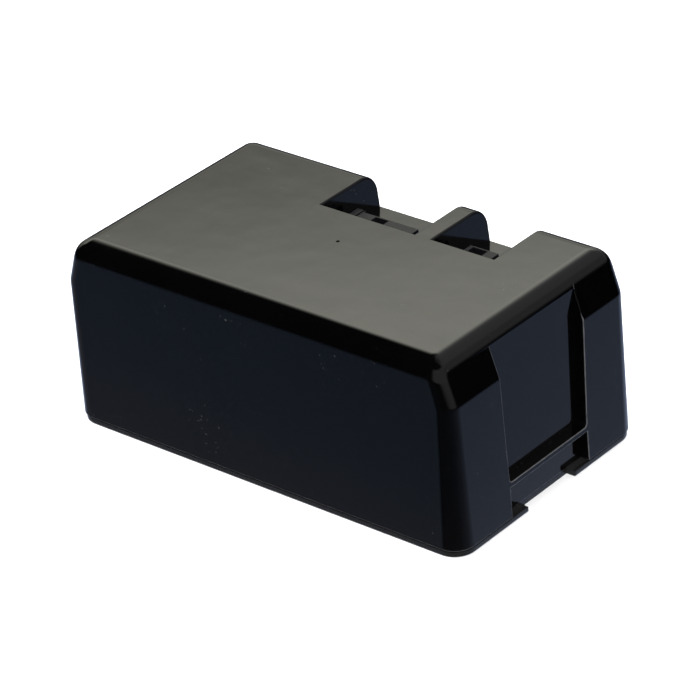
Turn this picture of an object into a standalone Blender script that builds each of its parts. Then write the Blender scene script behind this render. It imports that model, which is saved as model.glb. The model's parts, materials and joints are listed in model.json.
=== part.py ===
# Rechargeable battery box: a glossy moulded top shell with a grip recess in each end and two
# rear contact wells, a screwed base plate, and the cell pack, board and leads inside.
# Metres, +Z up, +X along the long side, origin at the middle of the underside.
import math

import bmesh
import bpy
from mathutils import Vector

for old in list(bpy.data.objects):
    bpy.data.objects.remove(old, do_unlink=True)

MM = 0.001

# outer shell
HALF_L = 82.5
HALF_W = 47.52
HEIGHT = 68.99
PLATE_T = 2.32
GAP = 0.3
END_DRAFT = 1.2
SIDE_DRAFT = 1.16
CHAMFER_Z = 53.39
CHAMFER_IN = 5.08
END_FILLET = 7.2
SIDE_FILLET = 7.0
CORNER_R_LOW = 7.5
CORNER_R_HIGH = 5.0
CORNER_R_MIN = 0.8
WALL = 2.5
CORNER_STEPS = 6

# grip recess in each end
RECESS_Y = (-20.2, 20.9)
RECESS_Y_TOP = (-20.95, 22.7)
RECESS_DEPTH = 3.3
BAR_Z = (13.4, 15.3)
LOWER_FACE_X = 79.0

# contact wells
WELL_FRONT_Y = 17.9
WELL_FLOOR_Z = 55.8
WELL_A_X = (-22.2, 17.3)
WELL_B_X = (24.75, 49.7)
WELL_DRAFT = 0.54

# contact blocks standing in the wells
BLOCK_TOP_Z = 62.5
BLOCK_BOTTOM_Z = 50.4
BLOCK_A_X = (-18.3, 8.7)
BLOCK_B_X = (30.0, 41.7)
BLOCK_FRONT_Y = 18.2
BLOCK_A_BACK_Y = 30.6
BLOCK_B_BACK_Y = 31.0
BAND_X = (-18.3, -15.7)
BAND_BACK_Y = 31.7
BAND_GROOVE_X = (-15.7, -15.1)
SLOT_A_X = (-8.9, -3.6)
SLOT_B_X = (31.7, 37.5)
SLOT_FRONT_Y = 20.6
SLOT_A_BACK_Y = 29.9
SLOT_B_BACK_Y = 30.3
TERMINAL_Y = (20.9, 29.9)
TAIL_Y = 25.4

# cells: seven columns, two layers, lying along Y
CELL_R = 9.1
CELL_LENGTH = 65.0
CELL_PITCH = 20.2
CELL_COLUMNS = 7
CELL_FRONT_Y = -36.4
LAYER_Z = (13.2, 33.4)
CELL_SIDES = 16
HOLE_R = 9.35
HOLDER_T = 7.0
HOLDER_HALF_L = 71.5
HOLDER_Z = (3.3, 43.3)

# closing screws
SCREW_X = 75.4
SCREW_Y = 40.6
BOSS_R = 4.6
BOSS_TOP_Z = 20.0
PILOT_R = 1.75
THREAD_R = 1.45
HEAD_R = 2.7
HEAD_T = 0.9
HEAD_BORE_R = 3.1
HEAD_BORE_T = 1.25


def material(name, colour, roughness, metallic=0.0):
    mat = bpy.data.materials.new(name)
    mat.use_nodes = True
    shader = mat.node_tree.nodes["Principled BSDF"]
    shader.inputs["Base Color"].default_value = (*colour, 1.0)
    shader.inputs["Roughness"].default_value = roughness
    shader.inputs["Metallic"].default_value = metallic
    mat.diffuse_color = (*colour, 1.0)
    return mat


GLOSS_BLACK = material("gloss_black", (0.006, 0.006, 0.008), 0.08)
SATIN_BLACK = material("satin_black", (0.03, 0.03, 0.028), 0.35)
MATTE_BLACK = material("matte_black", (0.025, 0.025, 0.03), 0.6)
CONTACT_METAL = material("contact_metal", (0.62, 0.58, 0.5), 0.3, 1.0)
NICKEL = material("nickel", (0.66, 0.64, 0.6), 0.32, 1.0)
CELL_WRAP = material("cell_wrap", (0.05, 0.2, 0.36), 0.4)
HOLDER_GREY = material("holder_grey", (0.05, 0.05, 0.055), 0.55)
BOARD_GREEN = material("board_green", (0.02, 0.12, 0.06), 0.35)
CHIP_BLACK = material("chip_black", (0.02, 0.02, 0.02), 0.45)
HEADER_WHITE = material("header_white", (0.75, 0.73, 0.66), 0.45)
FISH_PAPER = material("fish_paper", (0.3, 0.36, 0.33), 0.75)
FOAM_GREY = material("foam_grey", (0.12, 0.12, 0.125), 0.95)
WIRE_RED = material("wire_red", (0.5, 0.02, 0.02), 0.4)
WIRE_BLACK = material("wire_black", (0.02, 0.02, 0.02), 0.4)
WIRE_WHITE = material("wire_white", (0.7, 0.7, 0.68), 0.4)
SCREW_STEEL = material("screw_steel", (0.45, 0.45, 0.46), 0.3, 1.0)
LABEL_SILVER = material("label_silver", (0.55, 0.55, 0.56), 0.45)


def mesh_object(name, verts, faces, mat, centre, smooth=False):
    """One object whose mesh is stored about its own centre; verts and centre in millimetres."""
    data = bpy.data.meshes.new(name)
    middle = Vector(centre)
    data.from_pydata([(Vector(v) - middle) * MM for v in verts], [], faces)
    data.update()
    work = bmesh.new()
    work.from_mesh(data)
    bmesh.ops.recalc_face_normals(work, faces=work.faces)
    work.to_mesh(data)
    work.free()
    if smooth:
        data.shade_smooth()
        data.set_sharp_from_angle(angle=math.radians(32.0))
    data.materials.append(mat)
    obj = bpy.data.objects.new(name, data)
    obj.location = middle * MM
    bpy.context.scene.collection.objects.link(obj)
    return obj


def loft(name, rings, mat, smooth=False):
    """Closed body through rings of equal point count."""
    count = len(rings[0])
    verts = [point for ring in rings for point in ring]
    faces = [list(range(count))]
    for level in range(len(rings) - 1):
        base = level * count
        for i in range(count):
            j = (i + 1) % count
            faces.append([base + i, base + j, base + count + j, base + count + i])
    faces.append(list(range((len(rings) - 1) * count, len(rings) * count)))
    low = [min(v[axis] for v in verts) for axis in range(3)]
    high = [max(v[axis] for v in verts) for axis in range(3)]
    centre = [(low[axis] + high[axis]) / 2 for axis in range(3)]
    return mesh_object(name, verts, faces, mat, centre, smooth)


def prism(name, outline, z_low, z_high, mat):
    rings = [[(x, y, z) for x, y in outline] for z in (z_low, z_high)]
    return loft(name, rings, mat)


def box(name, low, high, mat):
    outline = [(low[0], low[1]), (high[0], low[1]), (high[0], high[1]), (low[0], high[1])]
    return prism(name, outline, low[2], high[2], mat)


def ring_points(centre, radius, axis, sides):
    """Points of a circle about an axis given as 0, 1 or 2."""
    points = []
    for i in range(sides):
        angle = 2 * math.pi * (i + 0.5) / sides
        offset = [radius * math.cos(angle), radius * math.sin(angle)]
        offset.insert(axis, 0.0)
        points.append(tuple(centre[k] + offset[k] for k in range(3)))
    return points


def turned(name, centre, axis, profile, mat, sides=CELL_SIDES):
    """Round body from (position along axis, radius) pairs."""
    rings = []
    for along, radius in profile:
        middle = list(centre)
        middle[axis] += along
        rings.append(ring_points(middle, radius, axis, sides))
    return loft(name, rings, mat, smooth=True)


def tube(name, path, radius, mat, sides=8):
    """Round lead with flat ends that follows a path of points."""
    points = [Vector(p) for p in path]
    rings = []
    side = None
    for i, point in enumerate(points):
        before = (point - points[i - 1]).normalized() if i > 0 else None
        after = (points[i + 1] - point).normalized() if i < len(points) - 1 else None
        direction = ((before or after) + (after or before)).normalized()
        if side is None:
            side = direction.orthogonal().normalized()
        side = (side - direction * side.dot(direction)).normalized()
        other = direction.cross(side)
        ring = []
        for k in range(sides):
            angle = 2 * math.pi * k / sides
            ring.append(tuple(point + side * radius * math.cos(angle) + other * radius * math.sin(angle)))
        rings.append(ring)
    return loft(name, rings, mat, smooth=True)


def rounded_rectangle(half_x, half_y, radius, steps=CORNER_STEPS):
    points = []
    for quarter in range(4):
        sign_x = 1 if quarter in (0, 3) else -1
        sign_y = 1 if quarter in (0, 1) else -1
        for step in range(steps + 1):
            angle = math.pi / 2 * (quarter + step / steps)
            x = sign_x * (half_x - radius) + radius * math.cos(angle)
            y = sign_y * (half_y - radius) + radius * math.sin(angle)
            points.append((x, y))
    return points


def as_cutter(obj):
    obj.hide_render = True
    obj.display_type = "WIRE"
    return obj


def cut(target, *cutters):
    for cutter in cutters:
        as_cutter(cutter)
        step = target.modifiers.new("cut_" + cutter.name, "BOOLEAN")
        step.operation = "DIFFERENCE"
        step.solver = "EXACT"
        step.object = cutter


def join(target, *additions):
    for addition in additions:
        as_cutter(addition)
        step = target.modifiers.new("join_" + addition.name, "BOOLEAN")
        step.operation = "UNION"
        step.solver = "EXACT"
        step.object = addition


# --- outer form -------------------------------------------------------------------------------

CHAMFER_SLOPE = CHAMFER_IN / (HEIGHT - CHAMFER_Z)
END_SLOPE = END_DRAFT / (CHAMFER_Z - PLATE_T)
CHAMFER_TILT = math.atan(CHAMFER_SLOPE)
BLEND_Z = 1.4
BLEND_PULL = 0.12


def end_x(z):
    """Half length of the shell at height z."""
    wall = HALF_L - END_SLOPE * (z - PLATE_T)
    facet = HALF_L - END_DRAFT - CHAMFER_SLOPE * (z - CHAMFER_Z)
    x = min(wall, facet)
    if abs(z - CHAMFER_Z) < BLEND_Z / 2:
        x -= BLEND_PULL
    centre_z = HEIGHT - END_FILLET
    if z > centre_z + END_FILLET * math.sin(CHAMFER_TILT):
        top_line = HALF_L - END_DRAFT - CHAMFER_IN
        centre_x = top_line - END_FILLET * (1 - math.sin(CHAMFER_TILT)) / math.cos(CHAMFER_TILT)
        x = centre_x + math.sqrt(max(0.0, END_FILLET ** 2 - (z - centre_z) ** 2))
    return x


def side_y(z):
    """Half width of the shell at height z."""
    y = HALF_W - SIDE_DRAFT * z / HEIGHT
    centre_z = HEIGHT - SIDE_FILLET
    if z > centre_z:
        centre_y = HALF_W - SIDE_DRAFT * centre_z / HEIGHT - SIDE_FILLET
        y = centre_y + math.sqrt(max(0.0, SIDE_FILLET ** 2 - (z - centre_z) ** 2))
    return y


def corner_radius(z):
    share = min(1.0, z / (HEIGHT - SIDE_FILLET))
    radius = CORNER_R_LOW + (CORNER_R_HIGH - CORNER_R_LOW) * share
    if z > HEIGHT - SIDE_FILLET:
        pulled = side_y(HEIGHT - SIDE_FILLET) - side_y(z)
        radius -= (CORNER_R_HIGH - CORNER_R_MIN) * pulled / SIDE_FILLET
    return radius


FILLET_LEVELS = [HEIGHT - SIDE_FILLET * (1 - math.sin(math.radians(a))) for a in (0, 18, 35, 50, 64, 77, 90)]
SHELL_BOTTOM = PLATE_T + GAP
SHELL_LEVELS = [SHELL_BOTTOM, 28.0, CHAMFER_Z - BLEND_Z, CHAMFER_Z, CHAMFER_Z + BLEND_Z, 57.5] + FILLET_LEVELS

rings = []
for z in SHELL_LEVELS:
    outline = rounded_rectangle(end_x(z), side_y(z), corner_radius(z))
    rings.append([(x, y, z) for x, y in outline])
top_shell = loft("top_shell", rings, GLOSS_BLACK, smooth=True)

# hollow of the shell, with thicker ground behind the grip recess and under the wells
BUMP_X = LOWER_FACE_X - 2.4
HOLLOW_Y = HALF_W - WALL
HOLLOW_X = HALF_L - WALL - 0.4
CEILING = HEIGHT - WALL
UNDER_WELL_Z = WELL_FLOOR_Z - WALL
CORE_LEFT = WELL_A_X[0] - WALL
CORE_RIGHT = WELL_B_X[1] + WALL
CORE_FRONT = WELL_FRONT_Y - WALL


def hollow_outline(inset, bump_x, half_y):
    """Plan outline of the hollow with a step in at each end behind the recess."""
    x = HOLLOW_X - inset
    low = RECESS_Y_TOP[0] - 3.0
    high = RECESS_Y_TOP[1] + 2.4
    right = [(x - 4, -half_y), (x, -half_y + 4), (x, low - 2), (bump_x, low), (bump_x, high), (x, high + 2)]
    right += [(x, half_y - 4), (x - 4, half_y)]
    left = [(-px, py) for px, py in reversed(right)]
    return right + left


hollow_rings = []
for z, inset, bump in ((0.0, 0.0, BUMP_X), (50.0, 0.9, BUMP_X - 0.5), (UNDER_WELL_Z, 1.7, BUMP_X - 0.9)):
    outline = hollow_outline(inset, bump, HOLLOW_Y - 1.2 * z / HEIGHT)
    hollow_rings.append([(x, y, z) for x, y in outline])
hollow_low = loft("cut_hollow_low", hollow_rings, GLOSS_BLACK)


def upper_outline(half_x, half_y):
    """Plan outline of the upper hollow, left out around the wells."""
    return [
        (-half_x, -half_y),
        (half_x, -half_y),
        (half_x, half_y),
        (CORE_RIGHT, half_y),
        (CORE_RIGHT, CORE_FRONT),
        (CORE_LEFT, CORE_FRONT),
        (CORE_LEFT, half_y),
        (-half_x, half_y),
    ]


upper_rings = []
for z, half_x, half_y in ((UNDER_WELL_Z - 0.5, 75.0, 43.5), (61.0, 72.6, 43.2), (CEILING, 69.6, 39.2)):
    upper_rings.append([(x, y, z) for x, y in upper_outline(half_x, half_y)])
hollow_high = loft("cut_hollow_high", upper_rings, GLOSS_BLACK)


def grip_cutters(sign):
    """Upper and lower pockets of one end's grip recess, with the bar left between them."""
    side = "right" if sign > 0 else "left"
    out = sign * (HALF_L + 6)
    top_z = HEIGHT - 0.5
    rings = []
    for z in (BAR_Z[1], CHAMFER_Z, top_z):
        share = min(1.0, (z - BAR_Z[1]) / (CHAMFER_Z - BAR_Z[1]))
        low = RECESS_Y[0] + (RECESS_Y_TOP[0] - RECESS_Y[0]) * share
        high = RECESS_Y[1] + (RECESS_Y_TOP[1] - RECESS_Y[1]) * share
        x = sign * (HALF_L - END_SLOPE * (z - PLATE_T) - RECESS_DEPTH)
        rings.append([(x, low, z), (out, low, z), (out, high, z), (x, high, z)])
    upper = loft("cut_grip_upper_" + side, rings, GLOSS_BLACK)
    x_low, x_high = sorted((sign * LOWER_FACE_X, out))
    lower = box("cut_grip_lower_" + side, (x_low, RECESS_Y[0], 0.5), (x_high, RECESS_Y[1], BAR_Z[0]), GLOSS_BLACK)
    return upper, lower


def well_cutter(name, span):
    rings = []
    for z, draft in ((WELL_FLOOR_Z, WELL_DRAFT), (HEIGHT + 2, -0.1)):
        x0 = span[0] + 2 * draft
        x1 = span[1] - draft
        rings.append([(x0, WELL_FRONT_Y, z), (x1, WELL_FRONT_Y, z), (x1, HALF_W + 4, z), (x0, HALF_W + 4, z)])
    return loft(name, rings, GLOSS_BLACK)


def block_hole(name, span, back_y):
    low = (span[0] - GAP, BLOCK_FRONT_Y - GAP, UNDER_WELL_Z - 1)
    high = (span[1] + GAP, back_y + GAP, WELL_FLOOR_Z + 1)
    return box(name, low, high, GLOSS_BLACK)


cut(top_shell, hollow_low, hollow_high)
for sign in (1, -1):
    cut(top_shell, *grip_cutters(sign))
cut(top_shell, well_cutter("cut_well_a", WELL_A_X), well_cutter("cut_well_b", WELL_B_X))
cut(top_shell, block_hole("cut_block_a", BLOCK_A_X, BAND_BACK_Y))
cut(top_shell, block_hole("cut_block_b", BLOCK_B_X, BLOCK_B_BACK_Y))
gate = turned("cut_gate_mark", (-0.7, 0.75, HEIGHT), 2, [(-0.5, 0.65), (1.0, 0.65)], GLOSS_BLACK, 8)
cut(top_shell, gate)

CORNERS = [(sx, sy) for sx in (-1, 1) for sy in (-1, 1)]
for index, (sx, sy) in enumerate(CORNERS):
    boss = turned(
        "join_boss_%d" % index,
        (sx * SCREW_X, sy * SCREW_Y, 0),
        2,
        [(SHELL_BOTTOM + 0.4, BOSS_R), (BOSS_TOP_Z, BOSS_R)],
        GLOSS_BLACK,
        12,
    )
    join(top_shell, boss)
for index, (sx, sy) in enumerate(CORNERS):
    pilot = turned(
        "cut_pilot_%d" % index,
        (sx * SCREW_X, sy * SCREW_Y, 0),
        2,
        [(0.5, PILOT_R), (15.0, PILOT_R)],
        GLOSS_BLACK,
        12,
    )
    cut(top_shell, pilot)

# --- base plate -------------------------------------------------------------------------------

PLATE_INSET = 0.4
PLATE_EDGE = 0.6
NOTCH_Y = (-11.6, 13.7)
NOTCH_X = 78.4
LABEL_HALF = (34.0, 19.0)
LABEL_DEPTH = 0.5

plate_rings = []
for z, inset in ((0.0, PLATE_EDGE), (0.18, 0.18), (PLATE_EDGE, 0.0), (PLATE_T, 0.0)):
    half_x = HALF_L - PLATE_INSET - inset
    half_y = HALF_W - PLATE_INSET - inset
    plate_rings.append([(x, y, z) for x, y in rounded_rectangle(half_x, half_y, CORNER_R_LOW - inset)])
base_plate = loft("base_plate", plate_rings, SATIN_BLACK, smooth=True)

for sign in (1, -1):
    x_low, x_high = sorted((sign * NOTCH_X, sign * (HALF_L + 3)))
    notch = box("cut_plate_notch_%d" % sign, (x_low, NOTCH_Y[0], -1), (x_high, NOTCH_Y[1], 4), SATIN_BLACK)
    cut(base_plate, notch)
for sy in (-1, 1):
    for k, x in enumerate((-45.0, 0.0, 45.0)):
        y_low, y_high = sorted((sy * 42.6, sy * 44.3))
        tab = box("join_tab_%d_%d" % (sy, k), (x - 12, y_low, PLATE_T - 0.5), (x + 12, y_high, 6.5), SATIN_BLACK)
        join(base_plate, tab)
for index, (sx, sy) in enumerate(CORNERS):
    middle = (sx * SCREW_X, sy * SCREW_Y, 0)
    shank = turned("cut_plate_hole_%d" % index, middle, 2, [(-1, PILOT_R), (4, PILOT_R)], SATIN_BLACK, 12)
    head = turned("cut_head_bore_%d" % index, middle, 2, [(-1, HEAD_BORE_R), (HEAD_BORE_T, HEAD_BORE_R)], SATIN_BLACK, 16)
    cut(base_plate, shank, head)
label_pocket = box(
    "cut_label_pocket",
    (-LABEL_HALF[0] - GAP, -LABEL_HALF[1] - GAP, -1),
    (LABEL_HALF[0] + GAP, LABEL_HALF[1] + GAP, LABEL_DEPTH),
    SATIN_BLACK,
)
cut(base_plate, label_pocket)

box(
    "label_plate",
    (-LABEL_HALF[0], -LABEL_HALF[1], 0.12),
    (LABEL_HALF[0], LABEL_HALF[1], LABEL_DEPTH - 0.03),
    LABEL_SILVER,
)

for index, (sx, sy) in enumerate(CORNERS):
    start = HEAD_BORE_T - HEAD_T - 0.05
    turned(
        "base_screw_%d" % (index + 1),
        (sx * SCREW_X, sy * SCREW_Y, 0),
        2,
        [(start, HEAD_R), (start + HEAD_T, HEAD_R), (start + HEAD_T + 0.01, THREAD_R), (13.0, THREAD_R), (14.0, 0.6)],
        SCREW_STEEL,
        12,
    )

# --- contact blocks, terminals and spring leaves ------------------------------------------------

TERMINAL_Z = (56.2, 57.0)
TAIL_BOTTOM_Z = 47.5
LEAF_T = 0.5
LEAF_FOOT_Z = TERMINAL_Z[1] + GAP
LEAF_TIP_Z = 61.0
LEAF_Y = (21.6, 27.0)
LEAF_SET_IN = 0.85
FLANGE = 1.6


def contact_block(name, span, back_y, slot, slot_back_y):
    """Insulating block that stands up through the well floor on a flange."""
    low = (span[0], BLOCK_FRONT_Y, BLOCK_BOTTOM_Z)
    block = box(name, low, (span[1], back_y, BLOCK_TOP_Z), MATTE_BLACK)
    flange = box(
        "join_flange_" + name,
        (span[0] - FLANGE, BLOCK_FRONT_Y - FLANGE, BLOCK_BOTTOM_Z - 1.0),
        (span[1] + FLANGE, BAND_BACK_Y + FLANGE, UNDER_WELL_Z - GAP),
        MATTE_BLACK,
    )
    join(block, flange)
    middle_x = (slot[0] + slot[1]) / 2
    slot_low = (slot[0], SLOT_FRONT_Y, TERMINAL_Z[0] - GAP)
    slot_cut = box("cut_slot_" + name, slot_low, (slot[1], slot_back_y, BLOCK_TOP_Z + 5), MATTE_BLACK)
    tail_low = (middle_x - 1.6, TAIL_Y - 1.0, BLOCK_BOTTOM_Z - 3)
    tail_cut = box("cut_tail_" + name, tail_low, (middle_x + 1.6, TAIL_Y + 1.0, TERMINAL_Z[0] + 1), MATTE_BLACK)
    cut(block, slot_cut, tail_cut)
    return block


def terminal(name, slot):
    """Fixed foot of a socket with a tail that drops through the block."""
    middle_x = (slot[0] + slot[1]) / 2
    foot_low = (slot[0] + GAP, TERMINAL_Y[0], TERMINAL_Z[0])
    foot = box(name, foot_low, (slot[1] - GAP, TERMINAL_Y[1], TERMINAL_Z[1]), CONTACT_METAL)
    tail_low = (middle_x - 1.2, TAIL_Y - 0.4, TAIL_BOTTOM_Z)
    tail = box("join_tail_" + name, tail_low, (middle_x + 1.2, TAIL_Y + 0.4, TERMINAL_Z[0] + 0.2), CONTACT_METAL)
    join(foot, tail)
    return foot


def leaf(name, x, sign):
    """Spring leaf bowed towards the blade; its origin is the bending line at its foot."""
    bow = ((LEAF_FOOT_Z, 0.0), (58.8, 0.35), (60.0, 0.65), (LEAF_TIP_Z, 0.1))
    outline = [(x + sign * shift, z) for z, shift in bow]
    outline += [(x + sign * (shift - LEAF_T), z) for z, shift in reversed(bow)]
    rings = [[(px, y, pz) for px, pz in outline] for y in LEAF_Y]
    obj = loft(name, rings, CONTACT_METAL)
    pivot = Vector((x - sign * LEAF_T / 2, sum(LEAF_Y) / 2, LEAF_FOOT_Z)) * MM
    shift = obj.location - pivot
    for vertex in obj.data.vertices:
        vertex.co += shift
    obj.location = pivot
    return obj


block_a = contact_block("contact_block_a", BLOCK_A_X, BLOCK_A_BACK_Y, SLOT_A_X, SLOT_A_BACK_Y)
band = box(
    "join_band",
    (BAND_X[0], BLOCK_FRONT_Y, UNDER_WELL_Z - 1),
    (BAND_X[1] + 1.0, BAND_BACK_Y, BLOCK_TOP_Z),
    MATTE_BLACK,
)
groove = box(
    "cut_band_groove",
    (BAND_GROOVE_X[0], BLOCK_FRONT_Y + 1, WELL_FLOOR_Z + 1.5),
    (BAND_GROOVE_X[1], BAND_BACK_Y + 3, BLOCK_TOP_Z + 3),
    MATTE_BLACK,
)
join(block_a, band)
cut(block_a, groove)
contact_block("contact_block_b", BLOCK_B_X, BLOCK_B_BACK_Y, SLOT_B_X, SLOT_B_BACK_Y)
terminal("terminal_positive", SLOT_A_X)
terminal("terminal_negative", SLOT_B_X)
for tag, slot in (("positive", SLOT_A_X), ("negative", SLOT_B_X)):
    leaf("spring_leaf_%s_left" % tag, slot[0] + LEAF_SET_IN + LEAF_T, 1)
    leaf("spring_leaf_%s_right" % tag, slot[1] - LEAF_SET_IN - LEAF_T, -1)

# --- cell pack -----------------------------------------------------------------------------------

COLUMN_X = [(i - (CELL_COLUMNS - 1) / 2) * CELL_PITCH for i in range(CELL_COLUMNS)]
CELL_BACK_Y = CELL_FRONT_Y + CELL_LENGTH
CAP_R = 3.2
CAP_T = 0.8
CAN = CELL_LENGTH - CAP_T
CAP_BACK = [(0.0, CELL_R), (CAN, CELL_R), (CAN + 0.01, CAP_R), (CELL_LENGTH, CAP_R)]
CAP_FRONT = [(CELL_LENGTH - along, radius) for along, radius in reversed(CAP_BACK)]
for column, x in enumerate(COLUMN_X):
    body = CAP_BACK if column % 2 == 0 else CAP_FRONT
    for layer, z in zip(("low", "high"), LAYER_Z):
        turned("cell_%d_%s" % (column + 1, layer), (x, CELL_FRONT_Y, z), 1, body, CELL_WRAP)


def holder(name, y_low):
    plate = box(name, (-HOLDER_HALF_L, y_low, HOLDER_Z[0]), (HOLDER_HALF_L, y_low + HOLDER_T, HOLDER_Z[1]), HOLDER_GREY)
    tag = name[-5:]
    for column, x in enumerate(COLUMN_X):
        for layer, z in enumerate(LAYER_Z):
            hole = turned(
                "cut_%s_hole_%d_%d" % (tag, column, layer),
                (x, y_low - 1, z),
                1,
                [(0.0, HOLE_R), (HOLDER_T + 2, HOLE_R)],
                HOLDER_GREY,
            )
            cut(plate, hole)
    return plate


HOLDER_FRONT_Y = CELL_FRONT_Y
HOLDER_BACK_Y = CELL_BACK_Y - HOLDER_T
holder("cell_holder_front", HOLDER_FRONT_Y)
holder("cell_holder_back", HOLDER_BACK_Y)

STRIP_T = 0.25
STRIP_GAP = 0.3
STRIP_HALF = 4.0


def strip(name, first, last, y, lift):
    """Welded strip over whole columns, both layers, with a tab rising by lift."""
    x0 = COLUMN_X[first] - STRIP_HALF
    x1 = COLUMN_X[last] + STRIP_HALF
    z0 = LAYER_Z[0] - STRIP_HALF
    z1 = LAYER_Z[1] + STRIP_HALF
    outline = [(x0, z0), (x1, z0), (x1, z1), (x0 + 6, z1), (x0 + 6, z1 + lift), (x0, z1 + lift)]
    rings = [[(px, yy, pz) for px, pz in outline] for yy in (y, y + STRIP_T)]
    return loft(name, rings, NICKEL)


STRIP_LIFT = 8.0
front_y = CELL_FRONT_Y - STRIP_GAP - STRIP_T
back_y = CELL_BACK_Y + STRIP_GAP
for index, (first, last) in enumerate(((0, 0), (1, 2), (3, 4), (5, 6))):
    strip("front_strip_%d" % (index + 1), first, last, front_y, STRIP_LIFT)
for index, (first, last) in enumerate(((0, 1), (2, 3), (4, 5), (6, 6))):
    strip("back_strip_%d" % (index + 1), first, last, back_y, STRIP_LIFT)

# --- board, insulation, foam and leads --------------------------------------------------------------

box("insulation_card", (-62, -30, 43.7), (62, 14, 44.3), FISH_PAPER)
box("foam_pad_low", (-60, -26, PLATE_T + 0.2), (60, 18, PLATE_T + 1.3), FOAM_GREY)
box("board_carrier", (-45, -27, 44.6), (45, 13, 46.6), HOLDER_GREY)
BOARD_TOP = 48.5
box("protection_board", (-43, -25, 46.9), (43, 11, BOARD_TOP), BOARD_GREEN)
PART_Z = BOARD_TOP + 0.05
box("power_switch_1", (20, -20, PART_Z), (30, -11, PART_Z + 4.4), CHIP_BLACK)
box("power_switch_2", (20, -8, PART_Z), (30, 1, PART_Z + 4.4), CHIP_BLACK)
box("monitor_chip", (-6, -12, PART_Z), (2, -4, PART_Z + 1.2), CHIP_BLACK)
box("sense_header", (-36, -22, PART_Z), (-30, 2, PART_Z + 6.0), HEADER_WHITE)
turned("pack_fuse", (38, -16, PART_Z + 2.8), 1, [(0.0, 2.6), (20.0, 2.6)], HEADER_WHITE, 12)
box("foam_block_left", (-68, -22, 44.6), (-50, 10, 65.0), FOAM_GREY)
box("foam_block_right", (50, -30, 44.6), (68, 10, 65.0), FOAM_GREY)

LEAD_R = 1.1
SENSE_R = 0.6
LEAD_REST_Z = BOARD_TOP + LEAD_R + GAP
STRIP_TOP_Z = LAYER_Z[1] + STRIP_HALF + STRIP_LIFT
BEAD = (COLUMN_X[3] + CELL_PITCH / 2, -2.0, 40.9)
turned("thermistor", BEAD, 1, [(-2.0, 0.7), (-1.2, 1.3), (1.2, 1.3), (2.0, 0.7)], CHIP_BLACK, 8)
tube(
    "thermistor_lead",
    [
        (BEAD[0], 0.3, BEAD[2]),
        (BEAD[0], 13.0, BEAD[2]),
        (BEAD[0], 16.2, 43.0),
        (BEAD[0], 15.8, 47.0),
        (BEAD[0], 12.5, 49.6),
        (BEAD[0], 8.0, 49.5),
    ],
    SENSE_R,
    WIRE_WHITE,
)

x = COLUMN_X[6] - STRIP_HALF + 3
y = back_y + STRIP_T / 2
tube(
    "lead_cell_positive",
    [(x, y, STRIP_TOP_Z + GAP), (x, y, 49.0), (x - 4, 25.0, 50.6), (45.5, 10.0, 50.4), (39.0, 7.0, LEAD_REST_Z)],
    LEAD_R,
    WIRE_RED,
)
x = COLUMN_X[0] - STRIP_HALF + 3
y = front_y + STRIP_T / 2
tube(
    "lead_cell_negative",
    [(x, y, STRIP_TOP_Z + GAP), (x, y, 49.0), (x + 4, -34.5, 51.0), (-46.0, -26.0, 50.6), (-40.0, -19.0, LEAD_REST_Z)],
    LEAD_R,
    WIRE_BLACK,
)
x = sum(SLOT_A_X) / 2
tube(
    "lead_out_positive",
    [
        (2.0, 7.0, LEAD_REST_Z),
        (2.0, 11.5, 49.7),
        (1.0, 16.0, 46.9),
        (-2.5, 22.0, 45.6),
        (x, TAIL_Y, 45.2),
        (x, TAIL_Y, TAIL_BOTTOM_Z - GAP),
    ],
    LEAD_R,
    WIRE_RED,
)
x = sum(SLOT_B_X) / 2
tube(
    "lead_out_negative",
    [
        (x, 7.0, LEAD_REST_Z),
        (x, 11.5, 49.7),
        (x, 16.0, 46.9),
        (x, TAIL_Y - 3, 45.4),
        (x, TAIL_Y, 45.2),
        (x, TAIL_Y, TAIL_BOTTOM_Z - GAP),
    ],
    LEAD_R,
    WIRE_BLACK,
)

ribbon_path = [(-22.4, 51.0), (-37.4, 51.0), (-37.4, 20.0), (-38.2, 20.0), (-38.2, 51.8), (-22.4, 51.8)]
ribbon_rings = [[(x, py, pz) for py, pz in ribbon_path] for x in (-35.5, -30.5)]
loft("sense_ribbon", ribbon_rings, WIRE_WHITE)
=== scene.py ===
"""Battery box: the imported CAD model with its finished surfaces, on a pale floor in soft studio light."""
import json
import math

import bmesh
import bpy
from mathutils import Matrix, Vector


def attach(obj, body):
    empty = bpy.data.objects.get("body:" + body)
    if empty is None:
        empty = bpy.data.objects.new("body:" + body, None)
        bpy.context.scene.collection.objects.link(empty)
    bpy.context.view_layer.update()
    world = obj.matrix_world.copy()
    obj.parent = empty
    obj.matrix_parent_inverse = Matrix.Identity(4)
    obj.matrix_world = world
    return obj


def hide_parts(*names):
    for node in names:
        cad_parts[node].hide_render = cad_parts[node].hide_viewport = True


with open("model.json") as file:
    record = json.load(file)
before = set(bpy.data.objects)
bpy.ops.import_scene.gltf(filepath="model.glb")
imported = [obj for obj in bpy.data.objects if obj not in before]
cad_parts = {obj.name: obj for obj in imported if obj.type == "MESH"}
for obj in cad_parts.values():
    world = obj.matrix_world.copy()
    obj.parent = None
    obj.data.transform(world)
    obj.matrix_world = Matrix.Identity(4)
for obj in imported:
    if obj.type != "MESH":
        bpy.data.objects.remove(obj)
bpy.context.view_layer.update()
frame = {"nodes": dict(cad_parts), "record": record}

MM = 0.001
NODES = frame["nodes"]
SCENE = bpy.context.scene

# ---------------------------------------------------------------- camera and framing

VIEW_AZIMUTH = math.radians(41.833)
VIEW_ELEVATION = math.radians(29.398)
VIEW_ROLL = math.radians(-4.812)
VIEW_DISTANCE = 1.2205
VIEW_TARGET = Vector((0.0, 0.0, 0.033))
SENSOR_MM = 36.0
LENS_MM = 190.4
SHIFT = (0.00551, -0.0158)


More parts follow.
